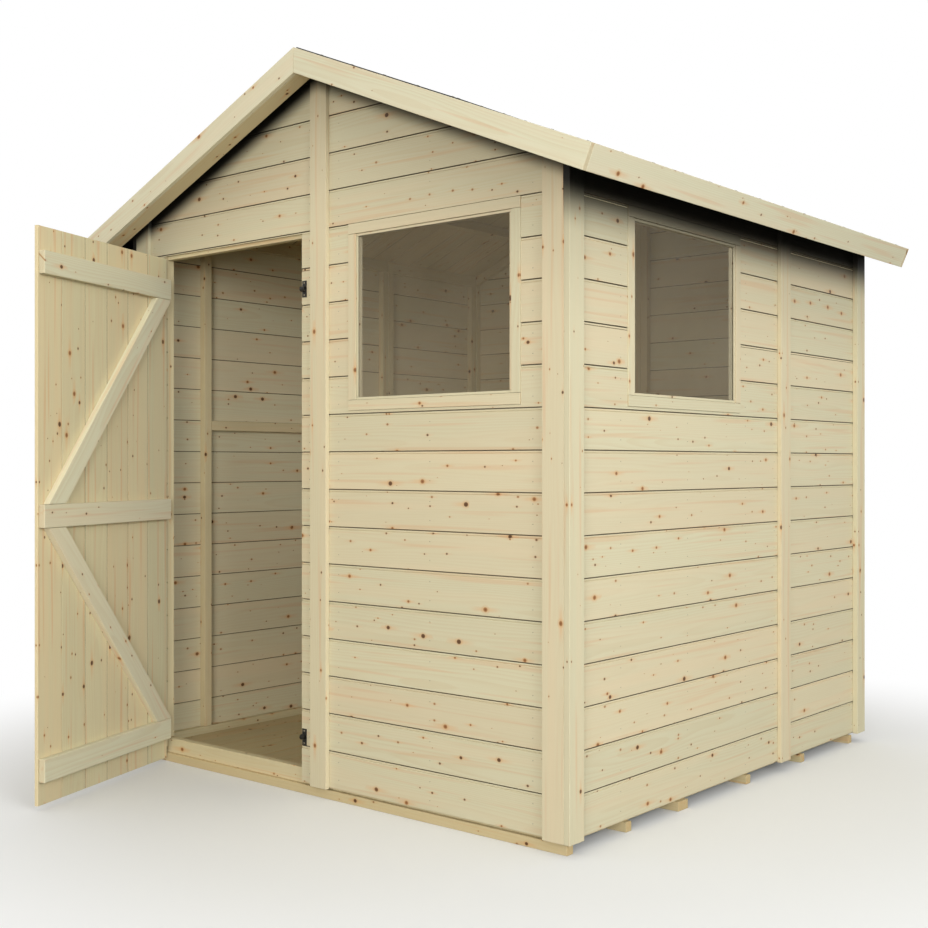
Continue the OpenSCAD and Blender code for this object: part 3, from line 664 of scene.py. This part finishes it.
# Walls, board on board, from boards that start a little beyond each corner
SPARE = 0.02
front_start = (-SIDE_FACE - SPARE, FRONT_FACE, CLADDING_FOOT)
rear_start = (-SIDE_FACE - SPARE, REAR_FACE, CLADDING_FOOT)
for node in ("front_cladding_hinge_side", "front_cladding_over_door", "front_cladding_latch_side"):
    clad(node, X, -Y, front_start, "door_panel")
clad("front_cladding_window_side", X, -Y, front_start)
for node in ("rear_cladding_left", "rear_cladding_right"):
    clad(node, X, Y, rear_start)
for side, name in ((1, "right"), (-1, "left")):
    for part in ("front", "rear"):
        start = (side * SIDE_FACE, FRONT_FACE - SPARE, CLADDING_FOOT)
        clad(f"{name}_cladding_{part}", Y, X * side, start)

# Floor
floor_start = Vector((-0.906, 0, FLOOR_TOP))
board_sheet("floor_boards_laid", "floor_boards", thin_profile(), floor_start, Y, X, -Z,
            UNCUT, BOARD_W, 17, floor_pine, "floor_timber")

# Roof, boards up the slope
SLOPE = math.radians(ROOF_PITCH)
for side, node in ((-1, "left_roof_boards"), (1, "right_roof_boards")):
    down = Vector((side * math.cos(SLOPE), 0, -math.sin(SLOPE)))
    under = Vector((-side * math.sin(SLOPE), 0, -math.cos(SLOPE)))
    ridge = Vector((0, ROOF_FRONT - 0.001, APEX)) - down * SPARE
    board_sheet(node + "_laid", node, matched_profile(), ridge, down, Y, under,
                ROOF_BOARD, BOARD_W, 18, roof_pine, "roof_timber")

# Door boards
turn = Matrix.Rotation(-math.radians(DOOR_OPEN), 3, "Z")


def on_door(x, y, z):
    """A place given in millimetres from the pin of the shut door, where it is with the door open."""
    return PIN + turn @ Vector((x, y, z)) * MM


door_start = on_door(DOOR_LEFT, DOOR_FACE, 5)
board_sheet("door_boards_hung", "door_boards", matched_profile(), door_start, Z, turn @ X, turn @ Y,
            DOOR_BOARD, BOARD_W, 6, door_pine, "door_timber", "door")

# Plain timbers
for node in ("eaves_fascias", "front_barge_left", "front_barge_right", "rear_barge_left",
             "rear_barge_right"):
    dress_timbers(node, planed_pine, "trim_timber")
for node in ("front_corner_trims", "rear_corner_trims", "side_corner_trims", "front_cover_strip",
             "rear_cover_strip", "side_cover_strips"):
    dress_timbers(node, wall_pine, "trim_timber")
for node in ("front_window_frame", "right_window_frame"):
    dress_timbers(node, wall_pine, "trim_timber", arris=0.7)
for node in ("door_sill", "front_frame_door_side", "front_frame_window_side", "left_frame",
             "right_frame", "rear_frame"):
    dress_timbers(node, frame_pine, "frame_timber")
for node in ("left_roof_rails", "right_roof_rails"):
    dress_timbers(node, rail_pine, "roof_timber")
dress_timbers("floor_bearers", floor_pine, "floor_timber", arris=0.8)
dress_timbers("door_ledges", planed_pine, "door_timber", "door", arris=2.5)
dress_timbers("door_braces", planed_pine, "door_timber", "door")


# Nails and screws

def set_heads(name, spots, finish, radius, rise, body="shed"):
    """Heads at places on a surface, each given with the way that the surface faces.

    Their radius and rise are in millimetres."""
    mesh = bpy.data.meshes.new(name + "_points")
    mesh.from_pydata([place for place, _ in spots], [], [])
    facing = mesh.attributes.new("facing", "FLOAT_VECTOR", "POINT")
    for item, (_, direction) in zip(facing.data, spots):
        item.vector = direction
    heads = run_tree(mesh, HEADS, Radius=radius * MM, Rise=rise * MM, Finish=finish)
    return add_piece(name, heads, finish, body, "black_iron")


def felt_spots():
    """Clout nails along the eaves, the front and rear edge and the lap of the felt."""
    single, double, lap, eaves, inset = 3, 6, 690, 1151, 22
    reach = eaves - inset
    low, high = ROOF_FRONT / MM + inset, ROOF_REAR / MM - inset
    rows = [(reach, y, single) for y in spread(low, high, 150)]
    rows += [(lap - inset, y, double) for y in spread(low, high, 100)]
    for y in (low, high):
        rows += [(d, y, double) for d in spread(90, lap - 2 * inset, 150)]
        rows += [(d, y, single) for d in spread(lap + inset, reach - 120, 150)]
    spots = []
    for side in (-1, 1):
        up = Vector((side * math.sin(SLOPE), 0, math.cos(SLOPE)))
        down = Vector((side * math.cos(SLOPE), 0, -math.sin(SLOPE)))
        spots += [(Vector((0, y * MM, APEX)) + (down * d + up * high_t) * MM, up) for d, y, high_t in rows]
    return spots


def spread(low, high, pitch):
    """Evenly spaced places from low to high, about a pitch apart."""
    count = max(1, round((high - low) / pitch))
    return [low + (high - low) * i / count for i in range(count + 1)]


def wall_pins():
    """Two pins for each board at every stud of the walls, where no trim or window covers them."""
    low_pin, high_pin, under_roof, top = 0.028, 0.082, 0.135, 2.3
    window_foot, window_head, eaves = 1.15, 1.80, 1.70
    front = [(x, 0.0, top) for x in (-0.832, -0.052, 0.076, 0.808)]
    front += [(0.443, 0.0, window_foot), (0.443, window_head, top), (-0.443, window_head, top)]
    rear = [(x, 0.0, top) for x in (-0.83, -0.443, -0.056, 0.056, 0.443, 0.83)]
    right = [(y, 0.0, eaves) for y in (0.06, 0.24, 0.96, 1.16, 1.275, 1.78)] + [(0.6, 0.0, window_foot)]
    left = [(y, 0.0, eaves) for y in (0.06, 0.61, 1.16, 1.275, 1.78)]
    rows = [(Vector((x, FRONT_FACE, 0)), -Y, low, high) for x, low, high in front]
    rows += [(Vector((x, REAR_FACE, 0)), Y, low, high) for x, low, high in rear]
    rows += [(Vector((SIDE_FACE, y, 0)), X, low, high) for y, low, high in right]
    rows += [(Vector((-SIDE_FACE, y, 0)), -X, low, high) for y, low, high in left]
    spots = []
    for place, facing, low, high in rows:
        high = min(high, APEX - abs(place.x) * math.tan(SLOPE) - under_roof)
        courses = range(int((top - CLADDING_FOOT) / (COURSE * MM)))
        heights = [CLADDING_FOOT + course * COURSE * MM + pin
                   for course in courses for pin in (low_pin, high_pin)]
        spots += [(place + Z * z - facing * TRIM_GAP * 2 * MM, facing) for z in heights if low < z < high]
    return spots


def door_spots(places, depth):
    """Places on the outer side of the door, in millimetres from the pin and from its outer face."""
    return [(on_door(x, DOOR_FACE - depth, z), turn @ -Y) for x, z in places]


def plate_spots(heights, holes):
    """Holes of the plates that are screwed to the wall."""
    return [(Vector((x, PLATE_FACE, z + up)) * MM, -Y) for z in heights for x, up in holes]


strap_screws = [(x, z) for z in HINGES for x in STRAP_HOLES]
bolt_screws = [(x, z + up) for z in BOLTS for x in BOLT_HOLES for up in (-10, 10)]
door_nails = [(DOOR_LEFT + BOARD_W * (board + 0.5) + side, z + up) for z in HINGES for board in range(6)
              for side, up in ((-28, 24), (28, -24))]
set_heads("felt_nails", felt_spots(), nail_steel, radius=5, rise=1.2)
set_heads("cladding_pins", wall_pins(), nail_steel, radius=1.4, rise=0.5)
set_heads("strap_screws", door_spots(strap_screws, IRON_RISE), black_coat, 4.2, 1.1, "door")
set_heads("bolt_screws", door_spots(bolt_screws, IRON_RISE), black_coat, 3.2, 0.9, "door")
set_heads("door_nails", door_spots(door_nails, -0.1), nail_steel, 1.8, 0.5, "door")
set_heads("hinge_plate_screws", plate_spots(HINGES, PLATE_HOLES), black_coat, 3.8, 1.0)
set_heads("keep_screws", plate_spots(BOLTS, KEEP_HOLES), nail_steel, 3.2, 0.9)


def paint_node(node, material):
    """Keeps a CAD node and gives it its finish."""
    mesh = frame["nodes"][node].data
    mesh.materials.clear()
    mesh.materials.append(material)


for node in ("roof_felt", "ridge_felt"):
    paint_node(node, mineral_felt)
paint_node("window_glass", clear_glazing)
for node in ("hinge_plates", "hinge_straps", "bolt_keeps", "door_bolts"):
    paint_node(node, black_coat)


# Floor, light and camera

def make_stage_material():
    """A pale floor that keeps the shadow of the shed and fades to white far from it."""
    material, g, shader = new_material("pale_floor")
    place = g.add("ShaderNodeTexCoord", out=3)
    middle, pale, white_out = (0.3, 0.6, 0), 1.15, 2.7
    distance = g.vector("LENGTH", g.vector("SUBTRACT", place, middle))
    distance = distance.node.outputs["Value"]
    path = g.tree.nodes.new("ShaderNodeLightPath").outputs
    seen = g.math("MAXIMUM", path["Is Camera Ray"], path["Is Transmission Ray"])
    color = g.mix(seen, srgb(110, 107, 101), srgb(239, 241, 243))
    g.tree.links.new(color, shader.inputs["Base Color"])
    shader.inputs["Roughness"].default_value = 0.9
    shader.inputs["Specular IOR Level"].default_value = 0.0
    white = g.add("ShaderNodeEmission", (1, 1, 1, 1), 1.0)
    fade = g.math("MULTIPLY", g.step(distance, pale, white_out), seen)
    both = g.add("ShaderNodeMixShader", fade, shader.outputs[0], white)
    g.tree.links.new(both, g.tree.nodes["Material Output"].inputs[0])
    return material


def add_floor():
    """A wide round floor."""
    bm = bmesh.new()
    bmesh.ops.create_circle(bm, cap_ends=True, segments=96, radius=30)
    mesh = bpy.data.meshes.new("studio_floor")
    bm.to_mesh(mesh)
    bm.free()
    floor = bpy.data.objects.new("studio_floor", mesh)
    bpy.context.scene.collection.objects.link(floor)
    mesh.materials.append(make_stage_material())


def add_world():
    """Even light from above, little from below, and white wherever it is seen."""
    world = bpy.data.worlds.new("studio_sky")
    bpy.context.scene.world = world
    world.use_nodes = True
    g = Graph(world.node_tree)
    background = world.node_tree.nodes["Background"]
    height = g.parts(g.add("ShaderNodeTexCoord", out=0))[2]
    light = g.step(height, 0.0, 0.7, 0.9, 0.68)
    path = g.tree.nodes.new("ShaderNodeLightPath").outputs
    seen = g.math("MAXIMUM", path["Is Camera Ray"],
                  g.math("MAXIMUM", path["Is Glossy Ray"], path["Is Transmission Ray"]))
    strength = g.math("ADD", g.math("MULTIPLY", light, g.math("SUBTRACT", 1.0, seen)), seen)
    g.tree.links.new(g.mix(seen, (1, 0.975, 0.915, 1), (1, 1, 1, 1)), background.inputs["Color"])
    g.tree.links.new(strength, background.inputs["Strength"])


def add_area_light(name, place, aim, size, power, color):
    """A large round lamp that shines at a place."""
    data = bpy.data.lights.new(name, "AREA")
    data.shape = "DISK"
    data.size = size
    data.energy = power
    data.color = color
    lamp = bpy.data.objects.new(name, data)
    bpy.context.scene.collection.objects.link(lamp)
    lamp.location = place
    lamp.rotation_euler = (Vector(aim) - Vector(place)).to_track_quat("-Z", "Y").to_euler()


def add_camera():
    """The level camera of the photograph."""
    data = bpy.data.cameras.new("photo_camera")
    data.lens = LENS
    camera = bpy.data.objects.new("photo_camera", data)
    bpy.context.scene.collection.objects.link(camera)
    camera.location = CAMERA_PLACE
    camera.rotation_euler = (math.radians(90), 0, math.radians(CAMERA_TURN))
    bpy.context.scene.camera = camera


add_floor()
add_world()
add_area_light("front_softbox", (4.3, -7.2, 1.6), aim=(0, 0.5, 1.0), size=4.0, power=370,
               color=(1, 0.975, 0.93))
add_area_light("side_softbox", (7.6, -1.9, 2.8), aim=(0.2, 0.3, 1.0), size=4.0, power=275,
               color=(0.97, 1, 1))
add_camera()
bpy.context.scene.view_settings.view_transform = "Standard"
